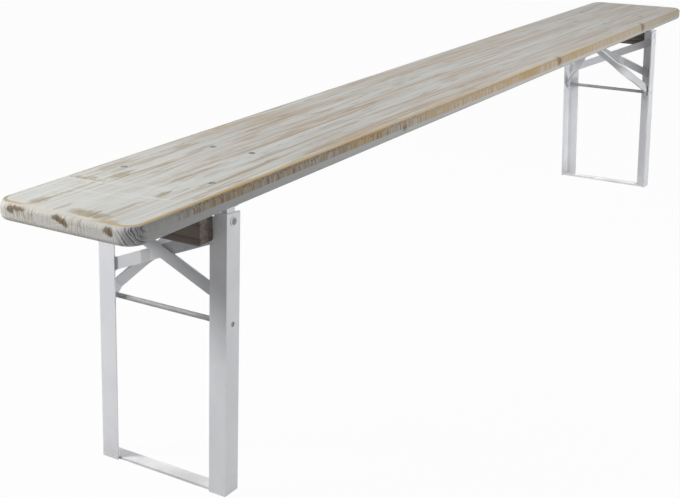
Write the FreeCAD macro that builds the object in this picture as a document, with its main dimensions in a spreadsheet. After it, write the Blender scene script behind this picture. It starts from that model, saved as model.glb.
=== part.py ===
import FreeCAD, Part
import math
import os
import Sketcher

Vector = FreeCAD.Vector
Rotation = FreeCAD.Rotation

# Folding beer-tent bench: one long plank on two splayed steel legs. Millimetres.
# X runs along the bench, Y across it, Z up; the origin is on the floor, centred under
# the plank. The two ends are the same set of pieces, turned half a turn about Z.

SIZES = [
    # The wooden plank.
    ("plank_length", 2200.0),
    ("plank_width", 250.0),
    ("plank_thick", 27.0),
    ("bench_height", 460.0),
    ("plank_corner", 28.0),
    ("plank_round", 8.0),
    # Where each leg hinges, measured from the end of the plank and its underside.
    ("hinge_inset", 208.0),
    ("hinge_drop", 20.5),
    ("splay_angle", 4.3),
    # Leg frame of rolled angle, seen end on.
    ("leg_margin", 5.5),
    ("angle_leg", 30.0),
    ("angle_thick", 3.5),
    ("angle_root", 2.5),
    ("angle_toe", 1.5),
    ("leg_head", 12.0),
    ("notch_depth", 7.0),
    ("notch_clear", 1.0),
    ("foot_width", 22.0),
    ("foot_thick", 4.0),
    ("foot_gap", 0.2),
    ("foot_edge", 0.8),
    ("foot_corner", 3.5),
    # Crossed flat strips near the top of the leg.
    ("strip_width", 18.5),
    ("strip_thick", 3.5),
    ("strip_inset", 12.5),
    ("strip_high", 19.0),
    ("outer_strip_low", 110.0),
    ("inner_strip_low", 104.5),
    ("joggle_start", 26.0),
    ("joggle_run", 14.0),
    # Round parts: tie rod, hinge pins and their heads.
    ("rod_dia", 8.0),
    ("rod_drop", 151.0),
    ("rod_recess", 1.8),
    ("spacer_dia", 14.0),
    ("spacer_play", 0.2),
    ("pin_dia", 12.4),
    ("pin_bore", 10.0),
    ("pin_rim", 15.0),
    ("pin_rim_thick", 1.2),
    ("running_clear", 0.06),
    ("face_clear", 0.3),
    ("seat_gap", 0.05),
    ("rim_bevel", 0.5),
    ("cut_past", 5.0),
    # Hinge strap under the plank.
    ("strap_width", 32.0),
    ("strap_thick", 3.0),
    ("lug_thick", 3.5),
    ("lug_half", 9.0),
    ("lug_clear", 0.4),
    ("bend_round", 2.0),
    ("strap_shift", 5.0),
    ("hinge_bolt_inset", 38.5),
    # Bolts with flat heads sunk in the top of the plank, nuts underneath.
    ("bolt_dia", 6.0),
    ("bolt_head", 11.0),
    ("bolt_head_thick", 3.0),
    ("bolt_sink", 0.8),
    ("bolt_end", 2.0),
    ("nut_flats", 10.0),
    ("nut_thick", 5.0),
    ("bolt_clear", 0.1),
    # Wooden batten outboard of the leg: its lower edge stops the leg.
    ("batten_thick", 28.0),
    ("batten_depth", 49.5),
    ("batten_inset", 23.5),
    ("batten_round", 6.0),
    ("batten_edge", 2.5),
    ("stop_gap", 0.3),
    ("screw_dia", 5.0),
    ("screw_head", 9.5),
    ("screw_head_thick", 3.0),
    ("screw_pitch", 68.0),
    ("screw_sink", 14.0),
    ("screw_length", 55.0),
    ("screw_point", 7.0),
    ("sink_clear", 0.8),
    # Lock under the plank that holds the top of the brace.
    ("lock_inset", 368.0),
    ("lock_drop", 9.0),
    ("catch_thick", 2.5),
    ("catch_outboard", 18.0),
    ("catch_inboard", 44.0),
    ("catch_near", 44.0),
    ("catch_far", 55.0),
    ("catch_bolt_x", 3.0),
    ("catch_bolt_near", 32.0),
    ("catch_bolt_far", 42.0),
    ("catch_corner", 6.0),
    ("cheek_inside", 14.0),
    ("cheek_thick", 2.5),
    ("cheek_depth", 16.0),
    ("cheek_outboard", 12.0),
    ("cheek_inboard", 14.0),
    ("cheek_heel", 9.0),
    ("lip_reach", 2.0),
    ("slot_angle", 22.0),
    ("slot_clear", 0.3),
    # Brace: two twisted flats riveted in a V, with a lock bar at the tip.
    ("arm_width", 20.0),
    ("arm_thick", 4.0),
    ("arm_gap", 5.5),
    ("arm_straight", 18.0),
    ("arm_cross", 28.0),
    ("arm_lap", 0.03),
    ("twist_start", 0.22),
    ("twist_end", 0.58),
    ("rivet_dia", 6.0),
    ("rivet_head", 12.0),
    ("rivet_high", 2.5),
    ("rivet_tail", 9.6),
    ("rivet_tail_thick", 1.8),
    ("clip_width", 20.0),
    ("clip_thick", 3.0),
    ("clip_back", 12.0),
    ("clip_ear", 17.0),
    ("ear_shoulder", 9.0),
    ("ear_round", 6.0),
    ("bar_dia", 7.0),
    ("bar_length", 48.0),
    ("bar_chamfer", 1.0),
    # Latch lever that swings sideways in front of the lock bar.
    ("latch_pivot_x", 32.0),
    ("latch_pivot_y", 21.0),
    ("latch_thick", 3.0),
    ("latch_play", 0.2),
    ("latch_boss", 7.0),
    ("latch_shoulder", 8.0),
    ("latch_neck", 4.0),
    ("latch_edge", 25.0),
    ("tooth_thick", 3.0),
    ("tooth_depth", 10.3),
    ("tab_reach", 24.0),
    ("tab_width", 18.0),
    ("tab_drop", 12.0),
    ("tab_round", 4.0),
    ("pivot_dia", 6.0),
    ("pivot_head", 12.0),
    ("pivot_head_thick", 1.5),
    ("spring_wire", 1.0),
    ("spring_turns", 3.0),
    ("spring_pitch", 1.3),
    ("spring_clear", 0.4),
    ("spring_gap", 0.15),
    ("spring_leg_x", 15.0),
    ("spring_hole_x", 8.0),
    ("spring_hole_y", 13.0),
]

TWIST_STEPS = 8
COIL_STEPS = 12
WIRE_SIDES = 8
doc = FreeCAD.newDocument("folding_bench")
sheet = doc.addObject("Spreadsheet::Sheet", "sizes")
for row, (alias, number) in enumerate(SIZES, start=1):
    sheet.set(f"A{row}", alias)
    sheet.set(f"B{row}", str(number))
    sheet.setAlias(f"B{row}", alias)
doc.recompute()


class Size:
    """A number together with the spreadsheet formula that gives it."""

    def __init__(self, value, text):
        self.value = float(value)
        self.text = text

    def __add__(self, other):
        other = as_size(other)
        return Size(self.value + other.value, f"({self.text} + {other.text})")

    def __sub__(self, other):
        other = as_size(other)
        return Size(self.value - other.value, f"({self.text} - {other.text})")

    def __mul__(self, other):
        other = as_size(other)
        return Size(self.value * other.value, f"({self.text} * {other.text})")

    def __truediv__(self, other):
        other = as_size(other)
        return Size(self.value / other.value, f"({self.text} / {other.text})")

    def __neg__(self):
        return Size(-self.value, f"(0 - {self.text})")

    def __radd__(self, other):
        return as_size(other) + self

    def __rsub__(self, other):
        return as_size(other) - self

    def __rmul__(self, other):
        return as_size(other) * self


def as_size(number):
    if isinstance(number, Size):
        return number
    return Size(number, f"({float(number)!r})")


def sine(angle):
    return Size(math.sin(math.radians(angle.value)), f"sin({angle.text})")


def cosine(angle):
    return Size(math.cos(math.radians(angle.value)), f"cos({angle.text})")


def tangent(angle):
    return Size(math.tan(math.radians(angle.value)), f"tan({angle.text})")


def arctangent(ratio):
    return Size(math.degrees(math.atan(ratio.value)), f"(atan({ratio.text}) / (1 deg))")


def root(number):
    return Size(math.sqrt(number.value), f"sqrt({number.text})")


def cell(alias):
    return Size(sheet.get(alias), f"sizes.{alias}")


# Every driving size, read back from the sheet under its own name.
S = {alias: cell(alias) for alias, number in SIZES}
ZERO = as_size(0.0)

parts = {}


def bind(item, path, size):
    item.setExpression(path, as_size(size).text)


def new_body(name):
    body = doc.addObject("PartDesign::Body", name)
    body.Label = name
    parts[name] = body
    return body


def origin_plane(body, plane):
    for feature in body.Origin.OriginFeatures:
        if feature.Role == f"{plane}_Plane":
            return feature


def new_sketch(body, name, plane, level):
    """A sketch on one of the body's origin planes, moved along the plane's normal."""
    sketch = body.newObject("Sketcher::SketchObject", f"{body.Name}_{name}_sketch")
    sketch.AttachmentSupport = (origin_plane(body, plane), [""])
    sketch.MapMode = "FlatFace"
    level = as_size(level)
    sketch.AttachmentOffset = FreeCAD.Placement(Vector(0, 0, level.value), Rotation())
    bind(sketch, "AttachmentOffset.Base.z", level)
    return sketch


def lock(sketch, kind, geometry, position, size):
    index = sketch.addConstraint(
        Sketcher.Constraint(kind, -1, 1, geometry, position, size.value))
    sketch.setExpression(f"Constraints[{index}]", size.text)


def add_outline(sketch, start, moves):
    """Draws a closed outline. A move is ("line", x, y) or ("arc", x, y, cx, cy, turn)."""
    corners = [start] + [move[1:3] for move in moves]
    corners = [(as_size(x), as_size(y)) for x, y in corners]
    edges = []
    for number, move in enumerate(moves):
        first = Vector(corners[number][0].value, corners[number][1].value, 0)
        last = Vector(corners[number + 1][0].value, corners[number + 1][1].value, 0)
        if move[0] == "line":
            index = sketch.addGeometry(Part.LineSegment(first, last), False)
            edges.append((index, 1, 2))
            continue
        centre = Vector(as_size(move[3]).value, as_size(move[4]).value, 0)
        radius = (first - centre).Length
        begin, end = (first, last) if move[5] > 0 else (last, first)
        angles = [math.atan2(p.y - centre.y, p.x - centre.x) for p in (begin, end)]
        if angles[1] <= angles[0]:
            angles[1] += 2 * math.pi
        circle = Part.Circle(centre, Vector(0, 0, 1), radius)
        index = sketch.addGeometry(Part.ArcOfCircle(circle, angles[0], angles[1]), False)
        edges.append((index, 1, 2) if move[5] > 0 else (index, 2, 1))
        lock(sketch, "DistanceX", index, 3, as_size(move[3]))
        lock(sketch, "DistanceY", index, 3, as_size(move[4]))
    count = len(edges)
    for number in range(count):
        after = edges[(number + 1) % count]
        sketch.addConstraint(Sketcher.Constraint(
            "Coincident", edges[number][0], edges[number][2], after[0], after[1]))
    for number in range(count):
        index, begin, end = edges[number]
        x, y = corners[number]
        before = moves[number - 1]
        if before[0] == "line":
            lock(sketch, "DistanceX", index, begin, x)
            lock(sketch, "DistanceY", index, begin, y)
        elif abs(y.value - as_size(before[4]).value) > abs(x.value - as_size(before[3]).value):
            lock(sketch, "DistanceX", index, begin, x)
        else:
            lock(sketch, "DistanceY", index, begin, y)


def add_circle(sketch, x, y, diameter):
    x, y, diameter = as_size(x), as_size(y), as_size(diameter)
    circle = Part.Circle(Vector(x.value, y.value, 0), Vector(0, 0, 1), diameter.value / 2)
    index = sketch.addGeometry(circle, False)
    lock(sketch, "DistanceX", index, 3, x)
    lock(sketch, "DistanceY", index, 3, y)
    constraint = sketch.addConstraint(
        Sketcher.Constraint("Diameter", index, diameter.value))
    sketch.setExpression(f"Constraints[{constraint}]", diameter.text)


def rectangle(x_low, y_low, x_high, y_high):
    return (x_low, y_low), [
        ("line", x_high, y_low), ("line", x_high, y_high),
        ("line", x_low, y_high), ("line", x_low, y_low)]


def polygon(points):
    return points[0], [("line", x, y) for x, y in points[1:] + points[:1]]


def along_normal(plane, low, high):
    """Sketch level for a pad from low to high: the XZ plane's normal is minus Y."""
    return -as_size(high) if plane == "XZ" else as_size(low)


def add_pad(body, name, plane, low, high, outline, circles=()):
    """A plate between two levels across the plane, with round holes."""
    low, high = as_size(low), as_size(high)
    sketch = new_sketch(body, name, plane, along_normal(plane, low, high))
    add_outline(sketch, *outline)
    for circle in circles:
        add_circle(sketch, *circle)
    pad = body.newObject("PartDesign::Pad", f"{body.Name}_{name}")
    pad.Profile = sketch
    pad.Length = (high - low).value
    bind(pad, "Length", high - low)
    return pad


def cut_through(body, name, plane, outline=None, circles=()):
    """Removes an outline or circles right through the body, both ways."""
    sketch = new_sketch(body, name, plane, 0.0)
    if outline:
        add_outline(sketch, *outline)
    for circle in circles:
        add_circle(sketch, *circle)
    pocket = body.newObject("PartDesign::Pocket", f"{body.Name}_{name}")
    pocket.Profile = sketch
    pocket.Type = 1
    pocket.Midplane = True
    return pocket


def cut_between(body, name, plane, low, high, outline=None, circles=()):
    """Removes an outline or circles between two levels across the plane."""
    low, high = as_size(low), as_size(high)
    level = -low if plane == "XZ" else high
    sketch = new_sketch(body, name, plane, level)
    if outline:
        add_outline(sketch, *outline)
    for circle in circles:
        add_circle(sketch, *circle)
    pocket = body.newObject("PartDesign::Pocket", f"{body.Name}_{name}")
    pocket.Profile = sketch
    pocket.Length = (high - low).value
    bind(pocket, "Length", high - low)
    return pocket


def add_turned(body, name, plane, outline):
    """A solid turned about the vertical axis of its sketch."""
    sketch = new_sketch(body, name, plane, 0.0)
    add_outline(sketch, *outline)
    turned = body.newObject("PartDesign::Revolution", f"{body.Name}_{name}")
    turned.Profile = sketch
    turned.ReferenceAxis = (sketch, ["V_Axis"])
    turned.Angle = 360.0
    return turned


def mirror_across(body, name, plane, features):
    mirror = body.newObject("PartDesign::Mirrored", f"{body.Name}_{name}")
    mirror.Originals = features
    mirror.MirrorPlane = (origin_plane(body, plane), [""])
    body.Tip = mirror
    return mirror


def pattern_along(body, name, axis, pitch, count, features):
    """Copies of the features at a fixed pitch along one of the body's axes."""
    pattern = body.newObject("PartDesign::LinearPattern", f"{body.Name}_{name}")
    pattern.Originals = features
    for feature in body.Origin.OriginFeatures:
        if feature.Role == f"{axis}_Axis":
            pattern.Direction = (feature, [""])
    pattern.Occurrences = count
    pattern.Length = pitch.value * (count - 1)
    bind(pattern, "Length", pitch * (count - 1))
    body.Tip = pattern
    return pattern


def round_edges(body, name, radius, wanted):
    """Rounds the edges of the body so far that the test picks out."""
    doc.recompute()
    base = body.Tip
    names = [f"Edge{number}" for number, edge in enumerate(base.Shape.Edges, start=1)
             if wanted(edge)]
    fillet = body.newObject("PartDesign::Fillet", f"{body.Name}_{name}")
    fillet.Base = (base, names)
    fillet.Radius = radius.value
    bind(fillet, "Radius", radius)
    return fillet


def near(value, target, slack=0.02):
    return abs(value - as_size(target).value) < slack


def straight_along(edge, axis):
    """True where a straight edge runs along the named axis."""
    if edge.Curve.TypeId != "Part::GeomLine":
        return False
    direction = edge.Vertexes[-1].Point - edge.Vertexes[0].Point
    direction.normalize()
    return abs(abs(getattr(direction, axis)) - 1.0) < 1e-6


def middle(edge):
    return edge.BoundBox.Center


def place(item, end, x, y, z, tilt=ZERO):
    """Seats a piece at the right-hand end, or half a turn round at the left."""
    x, y, z, tilt = as_size(x), as_size(y), as_size(z), as_size(tilt)
    if end == "right":
        spots = {"Base.x": x, "Base.y": y, "Base.z": z, "Rotation.Angle": tilt}
        turn = Rotation(Vector(0, 1, 0), tilt.value)
        item.Placement = FreeCAD.Placement(Vector(x.value, y.value, z.value), turn)
        spots["Rotation.Axis.y"] = as_size(1.0)
    else:
        half = tilt / 2
        axis = (-sine(half), cosine(half))
        turn = Rotation(Vector(axis[0].value, 0, axis[1].value), 180)
        item.Placement = FreeCAD.Placement(Vector(-x.value, -y.value, z.value), turn)
        spots = {"Base.x": -x, "Base.y": -y, "Base.z": z,
                 "Rotation.Axis.x": axis[0], "Rotation.Axis.z": axis[1]}
    for path, size in spots.items():
        bind(item, f"Placement.{path}", size)


def side_name(end, sign):
    """Front is the -Y side of the bench, rear the +Y side, at either end."""
    actual = sign if end == "right" else -sign
    return "front" if actual < 0 else "rear"


# Places that several pieces share.
underside = S["bench_height"] - S["plank_thick"]
hinge_x = S["plank_length"] / 2 - S["hinge_inset"]
hinge_z = underside - S["hinge_drop"]
lean = -S["splay_angle"]
angle_half = S["angle_leg"] / 2
web_inside = angle_half - S["angle_thick"]
leg_half = S["plank_width"] / 2 - S["leg_margin"]
leg_inside = leg_half - S["angle_thick"]
strip_reach = leg_half - S["strip_inset"]
batten_half = leg_half - S["batten_inset"]
hinge_bolt_y = leg_half - S["hinge_bolt_inset"]
batten_low = underside - S["batten_depth"]
batten_x = (hinge_x + angle_half / cosine(S["splay_angle"])
            + (hinge_z - batten_low) * tangent(S["splay_angle"]) + S["stop_gap"])
batten_mid = batten_x + S["batten_thick"] / 2
lock_x = S["plank_length"] / 2 - S["lock_inset"]
lock_z = underside - S["lock_drop"]
rod_x = hinge_x + S["rod_drop"] * sine(S["splay_angle"])
rod_z = hinge_z - S["rod_drop"] * cosine(S["splay_angle"])
brace_run = rod_x - lock_x
brace_rise = lock_z - rod_z
brace_length = root(brace_run * brace_run + brace_rise * brace_rise)
brace_tilt = -arctangent(brace_run / brace_rise)
strap_x = hinge_x - S["strap_shift"]
spring_top = -S["catch_thick"] - S["latch_play"] - S["latch_thick"] - S["spring_gap"]
spring_fall = S["spring_turns"] * S["spring_pitch"]
hole_dia = S["bolt_dia"] + 2 * S["bolt_clear"]
pin_hole = S["pin_dia"] + 2 * S["running_clear"]
rod_hole = S["rod_dia"] + 2 * S["running_clear"]


def make_plank():
    body = new_body("seat_plank")
    half_x, half_y = S["plank_length"] / 2, S["plank_width"] / 2
    add_pad(body, "board", "XY", ZERO, S["plank_thick"],
            rectangle(-half_x, -half_y, half_x, half_y))
    round_edges(body, "corners", S["plank_corner"], lambda e: straight_along(e, "z"))
    low, high = 0.0, S["plank_thick"].value
    round_edges(body, "rounding", S["plank_round"],
                lambda e: near(e.BoundBox.ZMin, e.BoundBox.ZMax)
                and (near(e.BoundBox.ZMin, low) or near(e.BoundBox.ZMin, high)))
    bolts, screws = [], []
    for turn in (1, -1):
        bolts.append((strap_x * turn, hinge_bolt_y * turn))
        bolts.append((strap_x * turn, -hinge_bolt_y * turn))
        bolts.append(((lock_x - S["catch_bolt_x"]) * turn, S["catch_bolt_near"] * turn))
        bolts.append(((lock_x - S["catch_bolt_x"]) * turn, -S["catch_bolt_far"] * turn))
        for step in (-1, 0, 1):
            screws.append((batten_mid * turn, S["screw_pitch"] * step * turn))
    cut_through(body, "bolt_holes", "XY", circles=[(x, y, hole_dia) for x, y in bolts])
    head_low = S["plank_thick"] - S["bolt_sink"] - S["bolt_head_thick"] - S["bolt_clear"]
    wide = S["bolt_head"] + 2 * S["bolt_clear"]
    cut_between(body, "head_seats", "XY", head_low, S["plank_thick"],
                circles=[(x, y, wide) for x, y in bolts])
    reach = S["screw_length"] + S["screw_sink"] - S["batten_depth"] + S["bolt_clear"]
    cut_between(body, "screw_pilots", "XY", ZERO, reach,
                circles=[(x, y, S["screw_dia"] + 2 * S["bolt_clear"]) for x, y in screws])
    body.Placement = FreeCAD.Placement(Vector(0, 0, underside.value), Rotation())
    bind(body, "Placement.Base.z", underside)


def make_batten(end):
    body = new_body(f"{end}_batten")
    half_x, half_y = S["batten_thick"] / 2, batten_half
    add_pad(body, "board", "XY", -S["batten_depth"], ZERO,
            rectangle(-half_x, -half_y, half_x, half_y))
    low = (-S["batten_depth"]).value
    round_edges(body, "ends", S["batten_round"],
                lambda e: straight_along(e, "x") and near(middle(e).z, low))
    round_edges(body, "outer_edge", S["batten_edge"],
                lambda e: straight_along(e, "y") and near(middle(e).z, low)
                and middle(e).x > 0)
    places = [(ZERO, S["screw_pitch"] * step) for step in (-1, 0, 1)]
    cut_through(body, "screw_holes", "XY",
                circles=[(x, y, S["screw_dia"] + 2 * S["bolt_clear"]) for x, y in places])
    cut_between(body, "counterbores", "XY", -S["batten_depth"],
                S["screw_sink"] - S["batten_depth"] + S["screw_head_thick"],
                circles=[(x, y, S["screw_head"] + S["sink_clear"]) for x, y in places])
    place(body, end, batten_mid, ZERO, underside)


def make_batten_screws(end):
    """Countersunk wood screws driven up through the batten into the plank."""
    body = new_body(f"{end}_batten_screws")
    shank, head = S["screw_dia"] / 2, S["screw_head"] / 2
    neck = S["screw_head_thick"]
    profile = polygon([
        (ZERO, ZERO), (head, ZERO), (head, neck / 3), (shank, neck),
        (shank, S["screw_length"] - S["screw_point"]), (ZERO, S["screw_length"])])
    screw = add_turned(body, "screw", "XZ", profile)
    pattern_along(body, "row", "Y", S["screw_pitch"], 3, [screw])
    place(body, end, batten_mid, -S["screw_pitch"],
          underside - S["batten_depth"] + S["screw_sink"])


def make_bolts(name, end, x, spots, plate_thick):
    """Sunk-head bolts through the plank and a plate below it, each with a hex nut."""
    pieces = []
    shank, head = S["bolt_dia"] / 2, S["bolt_head"] / 2
    head_top = S["plank_thick"] - S["bolt_sink"]
    head_low = head_top - S["bolt_head_thick"]
    nut_low = -plate_thick - S["nut_thick"]
    tip = nut_low - S["bolt_end"]
    rim = S["rim_bevel"]
    body = new_body(name)
    first = spots[0]
    profile = polygon([
        (ZERO, tip), (shank - rim, tip), (shank, tip + rim), (shank, head_low),
        (head, head_low), (head, head_top - rim), (head - rim, head_top), (ZERO, head_top)])
    pieces.append(add_turned(body, "bolt", "XZ", profile))
    flat = S["nut_flats"] / 2
    point = flat / cosine(as_size(30.0))
    ring = [(point * cosine(as_size(60.0 * k)), point * sine(as_size(60.0 * k)))
            for k in range(6)]
    pieces.append(add_pad(body, "nut", "XY", nut_low, -plate_thick, polygon(ring),
                          circles=[(ZERO, ZERO, hole_dia)]))
    span = spots[1] - first
    pattern_along(body, "pair", "Y", span, 2, pieces)
    place(body, end, x, first, underside)


def make_strap(end):
    """Steel strap across the plank's underside, its ends bent down as hinge lugs."""
    body = new_body(f"{end}_hinge_strap")
    lug_outside = leg_inside - S["lug_clear"]
    lug_inside = lug_outside - S["lug_thick"]
    top = S["hinge_drop"]
    bottom = top - S["strap_thick"]
    outboard = S["lug_half"]
    inboard = -S["strap_shift"] - S["strap_width"] / 2
    holes = [(-S["strap_shift"], y, hole_dia) for y in (hinge_bolt_y, -hinge_bolt_y)]
    add_pad(body, "strap", "XY", bottom, top,
            rectangle(inboard, -lug_outside, outboard, lug_outside), holes)
    round_edges(body, "plan_corners", S["catch_corner"],
                lambda e: straight_along(e, "z") and near(middle(e).x, inboard.value))
    half = S["lug_half"]
    lug = ((-half, ZERO), [
        ("arc", half, ZERO, ZERO, ZERO, 1), ("line", half, top), ("line", -half, top),
        ("line", -half, ZERO)])
    pad = add_pad(body, "lug", "XZ", lug_inside, lug_outside, lug, [(ZERO, ZERO, pin_hole)])
    mirror_across(body, "lugs", "XZ", [pad])
    round_edges(body, "bends", S["bend_round"],
                lambda e: straight_along(e, "x") and near(middle(e).z, top.value)
                and near(abs(middle(e).y), lug_outside.value))
    place(body, end, hinge_x, ZERO, hinge_z)


def floor_line(x):
    """Height of the floor in the leaning frame of a leg, at x outboard of the hinge."""
    return -(hinge_z + x * sine(S["splay_angle"])) / cosine(S["splay_angle"])


def make_upright(end, sign):
    """One corner post of rolled angle, drilled, notched and cut level with the floor."""
    body = new_body(f"{end}_{side_name(end, sign)}_upright")
    outer, toe = leg_half * sign, (leg_half - S["angle_leg"]) * sign
    inner = leg_inside * sign
    bend, tip = S["angle_root"], S["angle_toe"]
    profile = ((-angle_half, outer), [
        ("line", angle_half, outer), ("line", angle_half, toe),
        ("line", web_inside + tip, toe),
        ("arc", web_inside, toe + tip * sign, web_inside + tip, toe + tip * sign, -sign),
        ("line", web_inside, inner - bend * sign),
        ("arc", web_inside - bend, inner, web_inside - bend, inner - bend * sign, sign),
        ("line", tip - angle_half, inner),
        ("arc", -angle_half, inner + tip * sign, tip - angle_half, inner + tip * sign, -sign),
        ("line", -angle_half, outer)])
    add_pad(body, "angle", "XY", floor_line(angle_half) - S["angle_leg"], S["leg_head"], profile)
    reach = angle_half + S["cut_past"]
    deep = floor_line(angle_half) - 2 * S["angle_leg"]
    cut_through(body, "level_foot", "XZ", polygon([
        (-reach, floor_line(-reach)), (-reach, deep), (reach, deep), (reach, floor_line(reach))]))
    cut_through(body, "hinge_and_rod_holes", "XZ", circles=[
        (ZERO, ZERO, pin_hole), (ZERO, -S["rod_drop"], rod_hole)])
    notch_end = (batten_half + S["notch_clear"]) * sign
    notch_low = S["leg_head"] - S["notch_depth"]
    above = S["leg_head"] + S["cut_past"]
    cut_through(body, "batten_notch", "YZ", rectangle(
        toe - S["cut_past"] * sign, notch_low, notch_end, above))
    place(body, end, hinge_x, ZERO, hinge_z, lean)


def make_foot(end):
    """Flat strip on the floor between the two uprights."""
    body = new_body(f"{end}_foot_strip")
    low_x = (hinge_x + web_inside / cosine(S["splay_angle"])
             + (hinge_z - S["foot_thick"]) * tangent(S["splay_angle"]) - S["foot_gap"])
    half = leg_inside - S["foot_gap"]
    cut = S["foot_corner"]
    wide = S["foot_width"]
    outline = polygon([
        (-wide, -half), (-cut, -half), (ZERO, cut - half), (ZERO, half - cut),
        (-cut, half), (-wide, half)])
    add_pad(body, "strip", "XY", ZERO, S["foot_thick"], outline)
    round_edges(body, "upper_edge", S["foot_edge"],
                lambda e: straight_along(e, "y") and near(middle(e).z, S["foot_thick"])
                and near(middle(e).x, -wide))
    place(body, end, low_x, ZERO, ZERO)


def strip_outline(first, last):
    """A slanting flat between two heights at the uprights, with upright ends."""
    slope = (last - first) / (2 * strip_reach)
    rise = S["strip_width"] / 2 * root(1 + slope * slope)
    reach = strip_reach
    return polygon([(-reach, first - rise), (reach, last - rise),
                    (reach, last + rise), (-reach, first + rise)])


def make_cross_strips(end):
    """Two flats welded inside the uprights; one is joggled where they cross."""
    high, low = -S["strip_high"], -S["inner_strip_low"]
    outer = new_body(f"{end}_outer_cross_strip")
    add_pad(outer, "flat", "YZ", web_inside - S["strip_thick"], web_inside,
            strip_outline(high, -S["outer_strip_low"]))
    place(outer, end, hinge_x, ZERO, hinge_z, lean)

    inner = new_body(f"{end}_inner_cross_strip")
    back, gap = web_inside, S["face_clear"]
    thick = S["strip_thick"]
    step = thick + gap
    near_y, far_y, reach = S["joggle_start"], S["joggle_start"] + S["joggle_run"], strip_reach
    band = polygon([
        (back, -reach), (back, -far_y), (back - step, -near_y), (back - step, near_y),
        (back, far_y), (back, reach), (back - thick, reach), (back - thick, far_y),
        (back - step - thick, near_y), (back - step - thick, -near_y),
        (back - thick, -far_y), (back - thick, -reach)])
    add_pad(inner, "joggled_band", "XY", low - S["strip_width"], high + S["strip_width"], band)
    slope = (high - low) / (2 * reach)
    rise = S["strip_width"] / 2 * root(1 + slope * slope)
    past = reach + S["cut_past"]
    centre_left = low - slope * S["cut_past"]
    centre_right = high + slope * S["cut_past"]
    far_up, far_down = high + 3 * S["strip_width"], low - 3 * S["strip_width"]
    cut_through(inner, "above", "YZ", polygon([
        (-past, centre_left + rise), (past, centre_right + rise), (past, far_up),
        (-past, far_up)]))
    cut_through(inner, "below", "YZ", polygon([
        (-past, centre_left - rise), (-past, far_down), (past, far_down),
        (past, centre_right - rise)]))
    place(inner, end, hinge_x, ZERO, hinge_z, lean)


def make_rod(end):
    """Tie rod plug-welded into both uprights, its ends sunk; the brace turns on it."""
    body = new_body(f"{end}_tie_rod")
    radius, tip, rim = S["rod_dia"] / 2, leg_half - S["rod_recess"], S["rim_bevel"]
    add_turned(body, "rod", "XY", polygon([
        (ZERO, -tip), (radius - rim, -tip), (radius, rim - tip), (radius, tip - rim),
        (radius - rim, tip), (ZERO, tip)]))
    place(body, end, rod_x, ZERO, rod_z, lean)


def make_rod_spacers(end):
    """Short tubes on the tie rod that keep the brace arms off the uprights."""
    body = new_body(f"{end}_rod_spacers")
    bore, edge = rod_hole / 2, S["spacer_dia"] / 2
    low = leg_inside - S["arm_gap"] + S["spacer_play"]
    spacer = add_turned(body, "spacer", "XY", polygon([
        (bore, low), (edge, low), (edge, leg_inside), (bore, leg_inside)]))
    mirror_across(body, "pair", "XZ", [spacer])
    place(body, end, rod_x, ZERO, rod_z, lean)


def make_hinge_pins(end):
    """Two hollow rivets, rolled over at both ends, that carry the uprights in the lugs."""
    body = new_body(f"{end}_hinge_pins")
    bore, radius, edge = S["pin_bore"] / 2, S["pin_dia"] / 2, S["pin_rim"] / 2
    rim, thick = S["rim_bevel"], S["pin_rim_thick"]
    outside = leg_half + S["seat_gap"]
    inside = leg_inside - S["lug_clear"] - S["lug_thick"] - S["face_clear"]
    profile = polygon([
        (bore, inside - thick), (edge - rim, inside - thick), (edge, inside - thick + rim),
        (edge, inside), (radius, inside), (radius, outside), (edge, outside),
        (edge, outside + thick - rim), (edge - rim, outside + thick),
        (bore + rim, outside + thick), (bore, outside + thick - rim)])
    pin = add_turned(body, "pin", "XY", profile)
    mirror_across(body, "pair", "XZ", [pin])
    place(body, end, hinge_x, ZERO, hinge_z, lean)


def place_brace(body, end):
    place(body, end, rod_x, ZERO, rod_z, brace_tilt)


def arm_sections(sign):
    """Rectangles along the arm: upright at the rod, turned flat before the rivet."""
    thick, width = S["arm_thick"].value, S["arm_width"].value
    start = Vector(0, sign * (leg_inside - S["arm_gap"] - S["arm_thick"] / 2).value,
                   S["arm_straight"].value)
    finish = Vector(0, 0, (brace_length - S["arm_cross"]).value)
    path = finish - start
    lift = Vector(sign * (thick / 2 + S["arm_lap"].value), 0, 0)
    along = Vector(path).normalize()
    wires = []
    first, last = S["twist_start"].value, S["twist_end"].value
    stops = [0.0] + [first + (last - first) * k / TWIST_STEPS for k in range(TWIST_STEPS + 1)]
    stops.append(1.0)
    for stop in stops:
        share = min(max((stop - first) / (last - first), 0.0), 1.0)
        turn = math.radians(90.0) * share * share * (3 - 2 * share)
        # At the rod the flat stands on edge; its bend there lies half-way between runs.
        heading = Vector(0, 0, 1) + along if stop == 0.0 else along
        heading = Vector(heading).normalize()
        across = Vector(1, 0, 0) - heading * heading.x
        across.normalize()
        face = heading.cross(across)
        wide = across * math.cos(turn) + face * math.sin(turn) * sign
        deep = heading.cross(wide)
        # Each arm steps aside by half its thickness, so that the two lap at the rivet.
        centre = start + path * stop + lift * share
        half_w, half_t = wide * (width / 2), deep * (thick / 2)
        corners = [centre + half_w + half_t, centre - half_w + half_t,
                   centre - half_w - half_t, centre + half_w - half_t]
        wires.append(Part.makePolygon(corners + corners[:1]))
    return wires


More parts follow.
